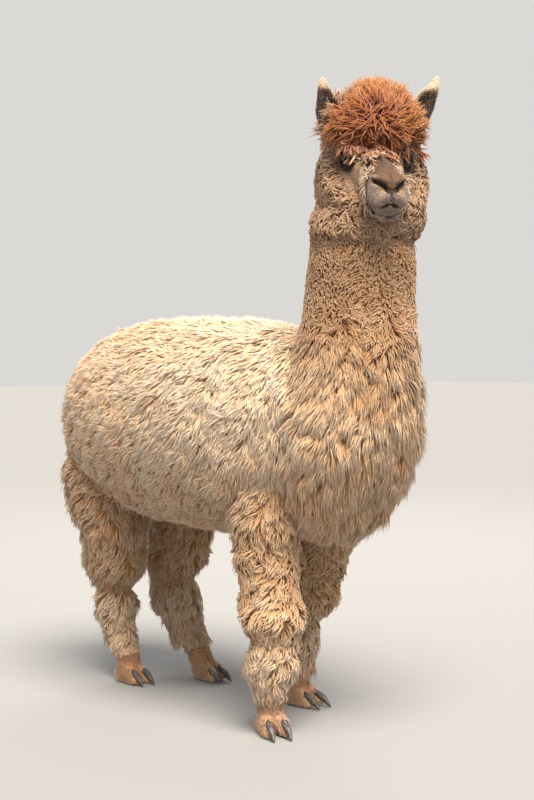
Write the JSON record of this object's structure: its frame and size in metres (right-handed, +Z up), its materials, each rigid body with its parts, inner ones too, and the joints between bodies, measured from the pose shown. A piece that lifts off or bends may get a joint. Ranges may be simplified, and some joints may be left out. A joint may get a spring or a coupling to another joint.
{
  "type": "alpaca",
  "caption": "Life-size still model of a standing alpaca in full fleece, head turned to its right, for a museum-type display.",
  "frame": {"origin": "on the floor, under the middle of the whole model's box", "axes": "+Z up, the animal faces -Y, and its left side is +X"},
  "size_m": [0.5774, 1.3278, 1.5172],
  "materials": {
    "fleece_body": "cream to apricot fleece in soft wavy locks",
    "fleece_legs": "tan fleece, curly above the knee and hock, layered below",
    "fleece_topknot": "rust-brown pointed locks",
    "short_hair": "short flat fawn hair",
    "eye": "wet, near black",
    "nail": "slate-grey horn, lightly polished"
  },
  "bodies": {
    "root": {"trunk": "fleece_body", "tail": "fleece_body", "neck": "fleece_body", "head": "short_hair", "jaw": "short_hair", "ear_right": "short_hair", "ear_left": "short_hair", "topknot": "fleece_topknot", "eye_right": "eye", "eye_left": "eye", "leg_front_right_upper": "fleece_legs", "leg_front_right_lower": "fleece_legs", "foot_front_right": "short_hair", "nail_front_right_1": "nail", "nail_front_right_2": "nail", "leg_front_left_upper": "fleece_legs", "leg_front_left_lower": "fleece_legs", "foot_front_left": "short_hair", "nail_front_left_1": "nail", "nail_front_left_2": "nail", "leg_hind_right_upper": "fleece_legs", "leg_hind_right_lower": "fleece_legs", "foot_hind_right": "short_hair", "nail_hind_right_1": "nail", "nail_hind_right_2": "nail", "leg_hind_left_upper": "fleece_legs", "leg_hind_left_lower": "fleece_legs", "foot_hind_left": "short_hair", "nail_hind_left_1": "nail", "nail_hind_left_2": "nail"}
  },
  "joints": []
}
